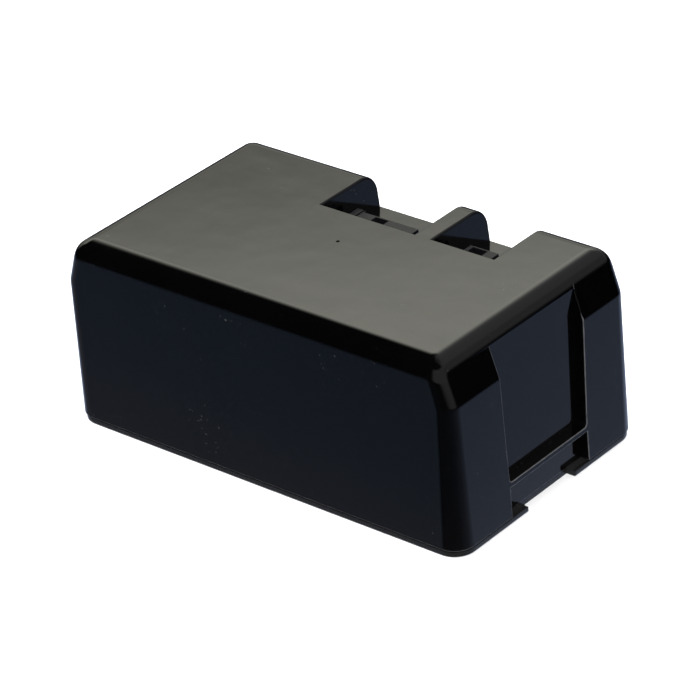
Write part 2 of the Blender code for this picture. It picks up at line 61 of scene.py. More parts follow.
def make_camera():
    sin_a, cos_a = math.sin(VIEW_AZIMUTH), math.cos(VIEW_AZIMUTH)
    sin_e, cos_e = math.sin(VIEW_ELEVATION), math.cos(VIEW_ELEVATION)
    back = Vector((sin_a * cos_e, -cos_a * cos_e, sin_e))
    right = Vector((cos_a, sin_a, 0.0))
    up = back.cross(right)
    right_r = right * math.cos(VIEW_ROLL) + up * math.sin(VIEW_ROLL)
    up_r = up * math.cos(VIEW_ROLL) - right * math.sin(VIEW_ROLL)
    data = bpy.data.cameras.new("camera")
    data.sensor_width = SENSOR_MM
    data.lens = LENS_MM
    data.shift_x, data.shift_y = SHIFT
    data.clip_start, data.clip_end = 0.05, 30.0
    cam = bpy.data.objects.new("camera", data)
    rotation = Matrix((right_r, up_r, back)).transposed().to_4x4()
    cam.matrix_world = Matrix.Translation(VIEW_TARGET + back * VIEW_DISTANCE) @ rotation
    SCENE.collection.objects.link(cam)
    SCENE.camera = cam


make_camera()

# ---------------------------------------------------------------- small node helpers


def new_material(name):
    mat = bpy.data.materials.new(name)
    mat.use_nodes = True
    tree = mat.node_tree
    return mat, tree, tree.nodes["Principled BSDF"]


def link(tree, a, b):
    tree.links.new(a, b)


def coords(tree, scale=(1.0, 1.0, 1.0)):
    """Object coordinates in metres, stretched by scale."""
    tex = tree.nodes.new("ShaderNodeTexCoord")
    mapping = tree.nodes.new("ShaderNodeMapping")
    mapping.inputs["Scale"].default_value = scale
    link(tree, tex.outputs["Object"], mapping.inputs["Vector"])
    return mapping.outputs["Vector"]


def noise(tree, vector, scale, detail=4.0, rough=0.55):
    """Soft random pattern around 0.5; scale is in waves per metre."""
    node = tree.nodes.new("ShaderNodeTexNoise")
    node.inputs["Scale"].default_value = scale
    node.inputs["Detail"].default_value = detail
    node.inputs["Roughness"].default_value = rough
    link(tree, vector, node.inputs["Vector"])
    return node.outputs["Fac"]


def remap(tree, value, from_low, from_high, to_low, to_high, curve="LINEAR"):
    """Value carried from one range to the other, held at the ends."""
    node = tree.nodes.new("ShaderNodeMapRange")
    node.interpolation_type = curve
    node.inputs["From Min"].default_value = from_low
    node.inputs["From Max"].default_value = from_high
    node.inputs["To Min"].default_value = to_low
    node.inputs["To Max"].default_value = to_high
    link(tree, value, node.inputs["Value"])
    return node.outputs["Result"]


def remap_smooth(tree, value, from_low, from_high, to_low, to_high):
    return remap(tree, value, from_low, from_high, to_low, to_high, "SMOOTHSTEP")


def object_height(tree):
    """Height above the floor in metres."""
    tex = tree.nodes.new("ShaderNodeTexCoord")
    split = tree.nodes.new("ShaderNodeSeparateXYZ")
    link(tree, tex.outputs["Object"], split.inputs["Vector"])
    return split.outputs["Z"]


def math_node(tree, operation, a, b):
    node = tree.nodes.new("ShaderNodeMath")
    node.operation = operation
    for slot, value in enumerate((a, b)):
        if isinstance(value, (int, float)):
            node.inputs[slot].default_value = value
        else:
            link(tree, value, node.inputs[slot])
    return node.outputs["Value"]


def mix_colour(tree, factor, low, high):
    node = tree.nodes.new("ShaderNodeMix")
    node.data_type = "RGBA"
    link(tree, factor, node.inputs["Factor"])
    for socket, colour in ((node.inputs["A"], low), (node.inputs["B"], high)):
        if isinstance(colour, tuple):
            socket.default_value = (*colour, 1.0)
        else:
            link(tree, colour, socket)
    return node.outputs["Result"]


def bump(tree, shader, height, distance, strength=1.0):
    node = tree.nodes.new("ShaderNodeBump")
    node.inputs["Strength"].default_value = strength
    node.inputs["Distance"].default_value = distance
    link(tree, height, node.inputs["Height"])
    link(tree, node.outputs["Normal"], shader.inputs["Normal"])


# pointiness range over which the painted edge highlight comes in
EDGE_HIGHLIGHT_START, EDGE_HIGHLIGHT_FULL = 0.52, 0.62


def edge_highlight_mask(tree):
    """Mask for a painted highlight: 0 on flats, rising to 1 on outward edges."""
    geo = tree.nodes.new("ShaderNodeNewGeometry")
    return remap(tree, geo.outputs["Pointiness"], EDGE_HIGHLIGHT_START, EDGE_HIGHLIGHT_FULL, 0.0, 1.0)


# ---------------------------------------------------------------- materials

PLASTIC_IOR = 1.5


def gloss_plastic():
    """Polished black plastic: faint clouding, haze low down, dust specks and slight sink waves."""
    mat, tree, shader = new_material("gloss_black_plastic")
    vector = coords(tree)
    cloud = noise(tree, vector, 24.0, 3.0)
    smear = noise(tree, coords(tree, (1.0, 2.6, 1.0)), 34.0, 5.0, 0.62)
    grain = noise(tree, vector, 900.0, 2.0)
    shade = mix_colour(tree, cloud, (0.0003, 0.0003, 0.0004), (0.0008, 0.0008, 0.0009))
    low_haze = remap_smooth(tree, object_height(tree), 0.026, 0.006, 0.0, 1.0)
    shade = mix_colour(tree, math_node(tree, "MULTIPLY", low_haze, 0.12), shade, (0.004, 0.0026, 0.002))
    specks = remap(tree, noise(tree, vector, 1300.0, 0.0), 0.81, 0.85, 0.0, 1.0)
    dust = math_node(tree, "MULTIPLY", specks, remap(tree, smear, 0.5, 0.62, 0.0, 1.0))
    shade = mix_colour(tree, dust, shade, (0.045, 0.045, 0.045))
    link(tree, shade, shader.inputs["Base Color"])
    rough = remap(tree, cloud, 0.3, 0.7, 0.05, 0.075)
    rough = math_node(tree, "ADD", rough, remap(tree, smear, 0.5, 0.75, 0.0, 0.05))
    rough = math_node(tree, "ADD", rough, remap(tree, grain, 0.35, 0.75, 0.0, 0.02))
    link(tree, rough, shader.inputs["Roughness"])
    shader.inputs["IOR"].default_value = PLASTIC_IOR
    sink = noise(tree, vector, 26.0, 2.0)
    ripple = noise(tree, vector, 75.0, 2.0)
    height = math_node(tree, "ADD", math_node(tree, "MULTIPLY", sink, 3.0), ripple)
    height = math_node(tree, "ADD", height, math_node(tree, "MULTIPLY", grain, 0.03))
    bump(tree, shader, height, 0.00003, 0.7)
    return mat


def gloss_edge_highlight():
    """The same plastic on the rounded edges: duller where rubbed, and a touch lighter in colour as a
    painted highlight.
    """
    mat, tree, shader = new_material("gloss_black_edge_highlight")
    vector = coords(tree)
    rub_and_highlight = noise(tree, vector, 420.0, 4.0)
    # lighter colour along the edges is a painted highlight
    shade = mix_colour(tree, rub_and_highlight, (0.025, 0.025, 0.027), (0.075, 0.076, 0.08))
    link(tree, shade, shader.inputs["Base Color"])
    link(tree, remap(tree, rub_and_highlight, 0.3, 0.7, 0.2, 0.42), shader.inputs["Roughness"])
    shader.inputs["IOR"].default_value = PLASTIC_IOR
    bump(tree, shader, rub_and_highlight, 0.00001, 0.4)
    return mat


def satin_plastic():
    """Base plate plastic: fine grain, with the edges lightened as a painted highlight."""
    mat, tree, shader = new_material("satin_black_plastic")
    vector = coords(tree)
    grain = noise(tree, vector, 2600.0, 3.0)
    cloud = noise(tree, vector, 45.0, 4.0)
    edge_highlight = edge_highlight_mask(tree)
    shade = mix_colour(tree, cloud, (0.005, 0.005, 0.005), (0.009, 0.009, 0.009))
    # painted highlight: outward edges mixed towards a lighter grey
    shade = mix_colour(tree, math_node(tree, "MULTIPLY", edge_highlight, 0.4), shade, (0.025, 0.025, 0.025))
    link(tree, shade, shader.inputs["Base Color"])
    link(tree, remap(tree, cloud, 0.3, 0.7, 0.2, 0.3), shader.inputs["Roughness"])
    bump(tree, shader, grain, 0.00003, 0.5)
    return mat


def matte_plastic():
    """Contact block plastic: coarse matte grain."""
    mat, tree, shader = new_material("matte_black_plastic")
    vector = coords(tree)
    grain = noise(tree, vector, 4200.0, 3.0)
    cloud = noise(tree, vector, 160.0, 3.0)
    shade = mix_colour(tree, cloud, (0.003, 0.003, 0.004), (0.005, 0.005, 0.0065))
    link(tree, shade, shader.inputs["Base Color"])
    link(tree, remap(tree, grain, 0.3, 0.7, 0.46, 0.58), shader.inputs["Roughness"])
    bump(tree, shader, grain, 0.00004, 0.6)
    return mat


def plain_finish(name, low, high, rough, metallic=0.0, scale=300.0, stretch=(1, 1, 1), depth=0.00002):
    """A finish whose colour and roughness vary with grain at the given scale."""
    mat, tree, shader = new_material(name)
    vector = coords(tree, stretch)
    grain = noise(tree, vector, scale * 6, 3.0)
    cloud = noise(tree, vector, scale, 4.0)
    link(tree, mix_colour(tree, cloud, low, high), shader.inputs["Base Color"])
    link(tree, remap(tree, grain, 0.3, 0.7, rough - 0.06, rough + 0.08), shader.inputs["Roughness"])
    shader.inputs["Metallic"].default_value = metallic
    bump(tree, shader, grain, depth, 0.5)
    return mat


METAL = 1.0
GLOSS = gloss_plastic()
# edge material whose lighter colour is a painted highlight
GLOSS_EDGE_HIGHLIGHT = gloss_edge_highlight()
SATIN = satin_plastic()
MATTE = matte_plastic()
FINISH = {
    "gloss_black": GLOSS,
    "satin_black": SATIN,
    "matte_black": MATTE,
    "contact_metal": plain_finish(
        "contact_metal", (0.5, 0.47, 0.4), (0.68, 0.64, 0.56), 0.3, METAL, 400.0
    ),
    "nickel": plain_finish(
        "nickel_strip", (0.55, 0.53, 0.5), (0.7, 0.68, 0.63), 0.3, METAL, 90.0, (1, 1, 9)
    ),
    "cell_wrap": plain_finish(
        "cell_wrap", (0.03, 0.15, 0.3), (0.06, 0.22, 0.4), 0.35, 0.0, 60.0, (1, 0.2, 1)
    ),
    "holder_grey": plain_finish(
        "holder_grey", (0.04, 0.04, 0.045), (0.065, 0.065, 0.07), 0.5, 0.0, 120.0
    ),
    "board_green": plain_finish(
        "board_green", (0.015, 0.1, 0.05), (0.03, 0.15, 0.075), 0.3, 0.0, 200.0
    ),
    "chip_black": plain_finish(
        "chip_black", (0.015, 0.015, 0.015), (0.03, 0.03, 0.03), 0.45, 0.0, 500.0
    ),
    "header_white": plain_finish(
        "header_white", (0.66, 0.64, 0.56), (0.78, 0.76, 0.68), 0.45, 0.0, 200.0
    ),
    "fish_paper": plain_finish(
        "fish_paper", (0.26, 0.32, 0.29), (0.36, 0.42, 0.38), 0.75, 0.0, 80.0, (1, 7, 1), 0.00006
    ),
    "foam_grey": plain_finish(
        "foam_grey", (0.09, 0.09, 0.095), (0.15, 0.15, 0.155), 0.9, 0.0, 350.0, (1, 1, 1), 0.0003
    ),
    "wire_red": plain_finish(
        "wire_red", (0.42, 0.015, 0.015), (0.55, 0.03, 0.025), 0.4, 0.0, 200.0
    ),
    "wire_black": plain_finish(
        "wire_black", (0.012, 0.012, 0.012), (0.028, 0.028, 0.028), 0.4, 0.0, 200.0
    ),
    "wire_white": plain_finish(
        "wire_white", (0.62, 0.62, 0.6), (0.74, 0.74, 0.72), 0.4, 0.0, 200.0
    ),
    "screw_steel": plain_finish(
        "screw_steel", (0.38, 0.38, 0.4), (0.52, 0.52, 0.53), 0.28, METAL, 300.0
    ),
    "label_silver": plain_finish(
        "label_foil", (0.45, 0.45, 0.46), (0.6, 0.6, 0.61), 0.4, 0.6, 60.0, (1, 14, 1)
    ),
}

for entry in frame["record"]["subparts"]:
    node = NODES[entry["node"]]
    node.data.materials.clear()
    node.data.materials.append(FINISH[entry["material_slot"]])

# ---------------------------------------------------------------- outer form, as in the CAD

HALF_L, HALF_W, HEIGHT = 82.5, 47.52, 68.99
PLATE_T, GAP = 2.32, 0.3
END_DRAFT, SIDE_DRAFT = 1.2, 1.16
CHAMFER_Z, CHAMFER_IN = 53.39, 5.08
END_FILLET, SIDE_FILLET = 7.2, 7.0
CORNER_R_LOW, CORNER_R_HIGH, CORNER_R_MIN = 7.5, 5.0, 0.8
BLEND_R = 3.4
SHELL_BOTTOM = PLATE_T + GAP
CHAMFER_SLOPE = CHAMFER_IN / (HEIGHT - CHAMFER_Z)
END_SLOPE = END_DRAFT / (CHAMFER_Z - PLATE_T)
CHAMFER_TILT = math.atan(CHAMFER_SLOPE)


def end_x(z):
    """Half length of the shell at height z."""
    tilt_wall = math.atan(END_SLOPE)
    half_turn = (CHAMFER_TILT - tilt_wall) / 2
    reach = BLEND_R * math.tan(half_turn)
    wall = HALF_L - END_SLOPE * (z - PLATE_T)
    facet = HALF_L - END_DRAFT - CHAMFER_SLOPE * (z - CHAMFER_Z)
    x = min(wall, facet)
    low_z = CHAMFER_Z - reach * math.cos(tilt_wall)
    high_z = CHAMFER_Z + reach * math.cos(CHAMFER_TILT)
    if low_z < z < high_z:
        start_x = HALF_L - END_SLOPE * (low_z - PLATE_T)
        centre_x = start_x - BLEND_R * math.cos(tilt_wall)
        centre_z = low_z - BLEND_R * math.sin(tilt_wall)
        x = centre_x + math.sqrt(BLEND_R ** 2 - (z - centre_z) ** 2)
    centre_z = HEIGHT - END_FILLET
    if z > centre_z + END_FILLET * math.sin(CHAMFER_TILT):
        top_line = HALF_L - END_DRAFT - CHAMFER_IN
        centre_x = top_line - END_FILLET * (1 - math.sin(CHAMFER_TILT)) / math.cos(CHAMFER_TILT)
        x = centre_x + math.sqrt(max(0.0, END_FILLET ** 2 - (z - centre_z) ** 2))
    return x


def side_y(z):
    """Half width of the shell at height z."""
    y = HALF_W - SIDE_DRAFT * z / HEIGHT
    centre_z = HEIGHT - SIDE_FILLET
    if z > centre_z:
        centre_y = HALF_W - SIDE_DRAFT * centre_z / HEIGHT - SIDE_FILLET
        y = centre_y + math.sqrt(max(0.0, SIDE_FILLET ** 2 - (z - centre_z) ** 2))
    return y


def corner_radius(z):
    share = min(1.0, z / (HEIGHT - SIDE_FILLET))
    radius = CORNER_R_LOW + (CORNER_R_HIGH - CORNER_R_LOW) * share
    if z > HEIGHT - SIDE_FILLET:
        pulled = side_y(HEIGHT - SIDE_FILLET) - side_y(z)
        radius -= (CORNER_R_HIGH - CORNER_R_MIN) * pulled / SIDE_FILLET
    return radius


def rounded_rectangle(half_x, half_y, radius, steps):
    points = []
    for quarter in range(4):
        sign_x = 1 if quarter in (0, 3) else -1
        sign_y = 1 if quarter in (0, 1) else -1
        for step in range(steps + 1):
            angle = math.pi / 2 * (quarter + step / steps)
            x = sign_x * (half_x - radius) + radius * math.cos(angle)
            y = sign_y * (half_y - radius) + radius * math.sin(angle)
            points.append((x, y))
    return points


# ---------------------------------------------------------------- mesh helpers (millimetres)


def mesh_object(name, verts, faces, mat=None):
    data = bpy.data.meshes.new(name)
    data.from_pydata([Vector(v) * MM for v in verts], [], faces)
    work = bmesh.new()
    work.from_mesh(data)
    bmesh.ops.recalc_face_normals(work, faces=work.faces)
    work.to_mesh(data)
    work.free()
    if mat:
        data.materials.append(mat)
    obj = bpy.data.objects.new(name, data)
    SCENE.collection.objects.link(obj)
    return obj


def loft(name, rings, mat=None):
    count = len(rings[0])
    verts = [point for ring in rings for point in ring]
    faces = [list(range(count))]
    for level in range(len(rings) - 1):
        base = level * count
        for i in range(count):
            j = (i + 1) % count
            faces.append([base + i, base + j, base + count + j, base + count + i])
    faces.append(list(range((len(rings) - 1) * count, len(rings) * count)))
    return mesh_object(name, verts, faces, mat)


def box(name, low, high, mat=None):
    outline = [(low[0], low[1]), (high[0], low[1]), (high[0], high[1]), (low[0], high[1])]
    return loft(name, [[(x, y, z) for x, y in outline] for z in (low[2], high[2])], mat)


def circle(centre, radius, z, sides):
    turn = 2 * math.pi / sides
    ring = []
    for i in range(sides):
        ring.append((centre[0] + radius * math.cos(i * turn), centre[1] + radius * math.sin(i * turn), z))
    return ring


def cylinder(name, centre, radius, z_low, z_high, sides, mat=None):
    return loft(name, [circle(centre, radius, z, sides) for z in (z_low, z_high)], mat)


def carve(target, cutters, operation="DIFFERENCE"):
    """Booleans applied to the mesh; the cutters are removed."""
    for cutter in cutters:
        step = target.modifiers.new("cut", "BOOLEAN")
        step.operation = operation
        step.solver = "EXACT"
        step.object = cutter
    settle(target)
    for cutter in cutters:
        bpy.data.objects.remove(cutter, do_unlink=True)


def settle(obj):
    """Modifiers become part of the mesh."""
    graph = bpy.context.evaluated_depsgraph_get()
    data = bpy.data.meshes.new_from_object(obj.evaluated_get(graph))
    obj.modifiers.clear()
    old = obj.data
    obj.data = data
    bpy.data.meshes.remove(old)


MERGE_DISTANCE = 0.002
SHARP_ANGLE = math.radians(25.0)
WIDEST_ROUNDING = 1.2


def round_edges(obj, width_at, segments, edge_slot=-1):
    """Rounds sharp edges; width_at(midpoint, edge) gives each width in millimetres, 0 for none."""
    work = bmesh.new()
    work.from_mesh(obj.data)
    bmesh.ops.remove_doubles(work, verts=work.verts, dist=MERGE_DISTANCE * MM)
    bmesh.ops.dissolve_degenerate(work, dist=MERGE_DISTANCE * MM, edges=work.edges)
    layers = work.edges.layers.float
    layer = layers.get("bevel_weight_edge") or layers.new("bevel_weight_edge")
    for edge in work.edges:
        edge[layer] = 0.0
        if len(edge.link_faces) != 2 or edge.calc_face_angle(0.0) < SHARP_ANGLE:
            continue
        middle = (edge.verts[0].co + edge.verts[1].co) / 2 / MM
        edge[layer] = width_at(middle, edge) / WIDEST_ROUNDING
    work.to_mesh(obj.data)
    work.free()
    step = obj.modifiers.new("rounding", "BEVEL")
    step.limit_method = "WEIGHT"
    step.width = WIDEST_ROUNDING * MM
    step.segments = segments
    step.miter_outer = "MITER_SHARP"
    step.miter_inner = "MITER_SHARP"
    step.use_clamp_overlap = False
    step.material = edge_slot
    settle(obj)


def shade(obj, angle=38.0):
    """Smooth shading whose large flats stay flat."""
    obj.data.shade_smooth()
    obj.data.set_sharp_from_angle(angle=math.radians(angle))
    step = obj.modifiers.new("weighted", "WEIGHTED_NORMAL")
    step.mode = "FACE_AREA"
    step.weight = 100
    step.keep_sharp = True
    settle(obj)


# ---------------------------------------------------------------- the glossy top shell

WALL = 2.5
RECESS_Y = (-20.2, 20.9)
RECESS_Y_TOP = (-20.95, 22.7)
RECESS_DEPTH = 3.3
BAR_Z = (13.4, 15.3)
LOWER_FACE_X = 79.0
WELL_FRONT_Y, WELL_FLOOR_Z = 17.9, 55.8
WELL_A_X, WELL_B_X = (-22.2, 17.3), (24.75, 49.7)
WELL_DRAFT = 0.54
UNDER_WELL_Z = WELL_FLOOR_Z - WALL
BLOCK_FRONT_Y, BLOCK_TOP_Z = 18.2, 62.5
BLOCK_A_X, BLOCK_B_X = (-18.3, 8.7), (30.0, 41.7)
BAND_BACK_Y, BLOCK_A_BACK_Y, BLOCK_B_BACK_Y = 31.7, 30.6, 31.0
WELL_EDGE_R = 0.9
GRIP_EDGE_R = 0.3
GRIP_CORNER_R = 1.4
CORNERS = [(sx * 75.4, sy * 40.6) for sx in (-1, 1) for sy in (-1, 1)]
BOSS_R, BOSS_TOP_Z = 4.6, 20.0
PILOT_R, PILOT_TOP_Z = 1.75, 15.0
GATE_MARK, GATE_MARK_R, GATE_MARK_DEPTH = (-0.7, 0.75), 0.65, 0.5


BLEND_REACH, FILLET_STEPS, CORNER_STEPS = 0.56, 18, 14


def shell_levels():
    """Heights of the shell's rings, close together where the form turns."""
    levels = [SHELL_BOTTOM, 10.0, 20.0, 30.0, 40.0, 48.0]
    levels += [CHAMFER_Z + BLEND_REACH * k / 3 for k in range(-3, 4)]
    levels += [55.5, 58.0]
    for k in range(FILLET_STEPS + 1):
        angle = math.pi / 2 * k / FILLET_STEPS
        levels.append(HEIGHT - SIDE_FILLET * (1 - math.sin(angle)))
    levels.append(HEIGHT - END_FILLET * (1 - math.sin(CHAMFER_TILT)))
    return sorted(set(round(z, 4) for z in levels))


def shell_rings():
    rings = []
    for z in shell_levels():
        outline = rounded_rectangle(end_x(z), side_y(z), corner_radius(z), CORNER_STEPS)
        rings.append([(x, y, z) for x, y in outline])
    return rings


def grip_cutters(sign):
    """Upper pocket with rounded lower corners, and the plain pocket under the bar."""
    out = sign * (HALF_L + 6)
    turn = [math.pi / 2 * k / 6 for k in range(7)]
    low, high, base = RECESS_Y[0], RECESS_Y[1], BAR_Z[1]
    bend = [(GRIP_CORNER_R * (1 - math.cos(a)), GRIP_CORNER_R * (1 - math.sin(a))) for a in turn]
    outline = [(low + across, base + up) for across, up in bend]
    outline += [(high - across, base + up) for up, across in bend]
    outline += [(RECESS_Y_TOP[1], CHAMFER_Z), (RECESS_Y_TOP[1], HEIGHT - 0.5)]
    outline += [(RECESS_Y_TOP[0], HEIGHT - 0.5), (RECESS_Y_TOP[0], CHAMFER_Z)]
    inner = [(sign * (HALF_L - END_SLOPE * (z - PLATE_T) - RECESS_DEPTH), y, z) for y, z in outline]
    upper = loft("grip_upper", [inner, [(out, y, z) for y, z in outline]])
    x_low, x_high = sorted((sign * LOWER_FACE_X, out))
    return [upper, box("grip_lower", (x_low, RECESS_Y[0], 0.5), (x_high, RECESS_Y[1], BAR_Z[0]))]


def well_cutter(span):
    """Well open at the back; its left wall leans twice as much as its right one."""
    rings = []
    for z, draft in ((WELL_FLOOR_Z, WELL_DRAFT), (HEIGHT + 2, -0.1)):
        x0, x1 = span[0] + 2 * draft, span[1] - draft
        y0, y1 = WELL_FRONT_Y, HALF_W + 4
        rings.append([(x0, y0, z), (x1, y0, z), (x1, y1, z), (x0, y1, z)])
    return loft("well", rings)


def block_hole(span, back_y):
    low = (span[0] - GAP, BLOCK_FRONT_Y - GAP, UNDER_WELL_Z - 1)
    return box("block_hole", low, (span[1] + GAP, back_y + GAP, WELL_FLOOR_Z + 1))


def hollow_outline(inset, bump_x, half_y):
    """Plan of the lower hollow with a step in at each end behind the recess."""
    x = HALF_L - WALL - 0.4 - inset
    low = RECESS_Y_TOP[0] - 3.0
    high = RECESS_Y_TOP[1] + 2.4
    right = [(x - 4, -half_y), (x, -half_y + 4), (x, low - 2), (bump_x, low)]
    right += [(bump_x, high), (x, high + 2), (x, half_y - 4), (x - 4, half_y)]
    return right + [(-px, py) for px, py in reversed(right)]


def upper_outline(half_x, half_y):
    """Plan of the upper hollow, left out around the wells."""
    left, right, front = WELL_A_X[0] - WALL, WELL_B_X[1] + WALL, WELL_FRONT_Y - WALL
    outline = [(-half_x, -half_y), (half_x, -half_y), (half_x, half_y), (right, half_y)]
    return outline + [(right, front), (left, front), (left, half_y), (-half_x, half_y)]


def hollow_cutters():
    """The shell's inside: a lower space up to the wells and an upper one around them."""
    bump_x = LOWER_FACE_X - 2.4
    low_stages = ((0.0, 0.0, bump_x), (50.0, 0.9, bump_x - 0.5), (UNDER_WELL_Z, 1.7, bump_x - 0.9))
    high_stages = ((UNDER_WELL_Z - 0.5, 75.0, 43.5), (61.0, 72.6, 43.2), (HEIGHT - WALL, 69.6, 39.2))
    low, high = [], []
    for z, inset, bump in low_stages:
        half_y = HALF_W - WALL - 1.2 * z / HEIGHT
        low.append([(x, y, z) for x, y in hollow_outline(inset, bump, half_y)])
    for z, half_x, half_y in high_stages:
        high.append([(x, y, z) for x, y in upper_outline(half_x, half_y)])
    return [loft("hollow_low", low), loft("hollow_high", high)]


def make_shell():
    shell = loft("shell_body", shell_rings(), GLOSS)
    cutters = hollow_cutters()
    for sign in (1, -1):
        cutters += grip_cutters(sign)
    cutters += [well_cutter(WELL_A_X), well_cutter(WELL_B_X)]
    cutters += [block_hole(BLOCK_A_X, BAND_BACK_Y), block_hole(BLOCK_B_X, BLOCK_B_BACK_Y)]
    cutters.append(cylinder("gate", GATE_MARK, GATE_MARK_R, HEIGHT - GATE_MARK_DEPTH, HEIGHT + 1, 20))
    carve(shell, cutters)
    bosses = [cylinder("boss", at, BOSS_R, SHELL_BOTTOM + 0.4, BOSS_TOP_Z, 24) for at in CORNERS]
    carve(shell, bosses, "UNION")
    carve(shell, [cylinder("pilot", at, PILOT_R, 0.5, PILOT_TOP_Z, 20) for at in CORNERS])
    return shell


def well_edge_width(p, edge):
    """Rounding along the wells: broad on top of the side walls, fine round the back."""
    if p.y < WELL_FRONT_Y - 0.2 or p.z < WELL_FLOOR_Z - 0.2:
        return 0.0
    if p.z < WELL_FLOOR_Z + 0.2:
        return 0.25 if p.y > 40 else 0.0
    run = (edge.verts[1].co - edge.verts[0].co).normalized()
    if abs(run.x) > 0.5:
        return 0.4 if abs(p.y - WELL_FRONT_Y) < 0.2 and p.z > HEIGHT - 0.2 else 0.0
    if abs(p.y - WELL_FRONT_Y) < 0.2:
        return 0.0
    drop = min(1.0, (HEIGHT - p.z) / SIDE_FILLET)
    return WELL_EDGE_R + (0.25 - WELL_EDGE_R) * drop


def grip_edge_width(p, edge):
    """Rounding along the grip recesses, the bar and the shell's lower rim."""
    if p.z < SHELL_BOTTOM + 0.05 and edge.calc_face_angle(0.0) > 1.0:
        inside = abs(p.x) < 78.0 and abs(p.y) < 45.5
        return 0.0 if inside else 0.22
    if abs(p.x) < 72.0 or p.z > HEIGHT - 1.0:
        return 0.0
    if p.y < RECESS_Y[0] - 1.2 or p.y > RECESS_Y_TOP[1] + 0.6:
        return 0.0
    return GRIP_EDGE_R if abs(p.x) > end_x(p.z) - 0.15 else 0.0


shell = make_shell()
# grip, bar and lower-rim roundings get the edge material with its painted highlight
shell.data.materials.append(GLOSS_EDGE_HIGHLIGHT)
round_edges(shell, well_edge_width, 5)
round_edges(shell, grip_edge_width, 3, edge_slot=1)
shade(shell)
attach(shell, "housing")
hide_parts("top_shell")

# ---------------------------------------------------------------- base plate and screws

PLATE_INSET, PLATE_EDGE = 0.4, 0.6
RIM_Z, RIM_STEP = 1.98, 1.3
NOTCH_X, NOTCH_Y = 78.4, (-11.6, 13.7)
LABEL_HALF, LABEL_DEPTH = (34.0, 19.0), 0.5
HEAD_R, HEAD_T, HEAD_BORE_R, HEAD_BORE_T = 2.7, 0.9, 3.1, 1.25
THREAD_R, SHANK_TOP_Z, CROSS_HALF = 1.45, 13.0, (1.3, 0.25)
TAB_X, TAB_Y, TAB_TOP_Z = (-45.0, 0.0, 45.0), (42.6, 44.3), 6.5
TAB_HALF = 12


def make_base_plate():
    """Plate with a rounded lower rim and a rebate on top that leaves a shadow line under the shell."""
    rings = []
    turn = (0.0, 0.4, 0.8, 1.2, math.pi / 2)
    profile = [(PLATE_EDGE * (1 - math.sin(a)), PLATE_EDGE * (1 - math.cos(a))) for a in turn]
    profile += [(0.0, RIM_Z), (RIM_STEP, RIM_Z + 0.01), (RIM_STEP, PLATE_T)]
    for inset, z in profile:
        half_x, half_y = HALF_L - PLATE_INSET - inset, HALF_W - PLATE_INSET - inset
        outline = rounded_rectangle(half_x, half_y, CORNER_R_LOW - inset, 12)
        rings.append([(x, y, z) for x, y in outline])
    plate = loft("base_plate_body", rings, SATIN)
    cutters = []
    for sign in (1, -1):
        x_low, x_high = sorted((sign * NOTCH_X, sign * (HALF_L + 3)))
        cutters.append(box("notch", (x_low, NOTCH_Y[0], -1), (x_high, NOTCH_Y[1], 4)))
    for at in CORNERS:
        cutters.append(cylinder("shank", at, PILOT_R, -1, 4, 20))
        cutters.append(cylinder("bore", at, HEAD_BORE_R, -1, HEAD_BORE_T, 32))
    label_low = (-LABEL_HALF[0] - GAP, -LABEL_HALF[1] - GAP, -1)
    cutters.append(box("label", label_low, (LABEL_HALF[0] + GAP, LABEL_HALF[1] + GAP, LABEL_DEPTH)))
    carve(plate, cutters)
    tabs = []
    for sy in (-1, 1):
        y_low, y_high = sorted((sy * TAB_Y[0], sy * TAB_Y[1]))
        for x in TAB_X:
            tabs.append(box("tab", (x - TAB_HALF, y_low, PLATE_T - 0.5), (x + TAB_HALF, y_high, TAB_TOP_Z)))
    carve(plate, tabs, "UNION")
    round_edges(plate, plate_edge_width, 2)
    shade(plate)
    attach(plate, "housing")
    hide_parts("base_plate")


def plate_edge_width(p, edge):
    """Fine rounding on the rim at the ends, the screw bores and the label pocket."""
    on_rim = p.z > 0.3 and abs(p.x) > 77.5
    nearest = min(math.hypot(p.x - x, p.y - y) for x, y in CORNERS)
    on_bore = p.z < 0.05 and nearest < HEAD_BORE_R + 0.1
    on_label = p.z < 0.05 and abs(p.x) < LABEL_HALF[0] + 1 and abs(p.y) < LABEL_HALF[1] + 1
    return 0.12 if on_rim or on_bore or on_label else 0.0


def make_screws():
    """Pan heads with a cross recess."""
    start = HEAD_BORE_T - HEAD_T - 0.05
    long, short = CROSS_HALF
    profile = [(HEAD_R * 0.55, start), (HEAD_R * 0.86, start + 0.1)]
    profile += [(HEAD_R, start + 0.36), (HEAD_R, start + HEAD_T)]
    profile += [(THREAD_R, start + HEAD_T + 0.01), (THREAD_R, SHANK_TOP_Z), (0.6, SHANK_TOP_Z + 1.0)]
    for index, (x, y) in enumerate(CORNERS):
        rings = [circle((x, y), radius, z, 32) for radius, z in profile]
        screw = loft("screw_%d" % (index + 1), rings, FINISH["screw_steel"])
        arms = [
            box("arm", (x - long, y - short, -1), (x + long, y + short, start + 0.55)),
            box("arm", (x - short, y - long, -1), (x + short, y + long, start + 0.551)),
        ]
        carve(screw, arms)
        shade(screw, 32.0)
        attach(screw, "housing")
        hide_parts("base_screw_%d" % (index + 1))


make_base_plate()
make_screws()

# ---------------------------------------------------------------- contact blocks

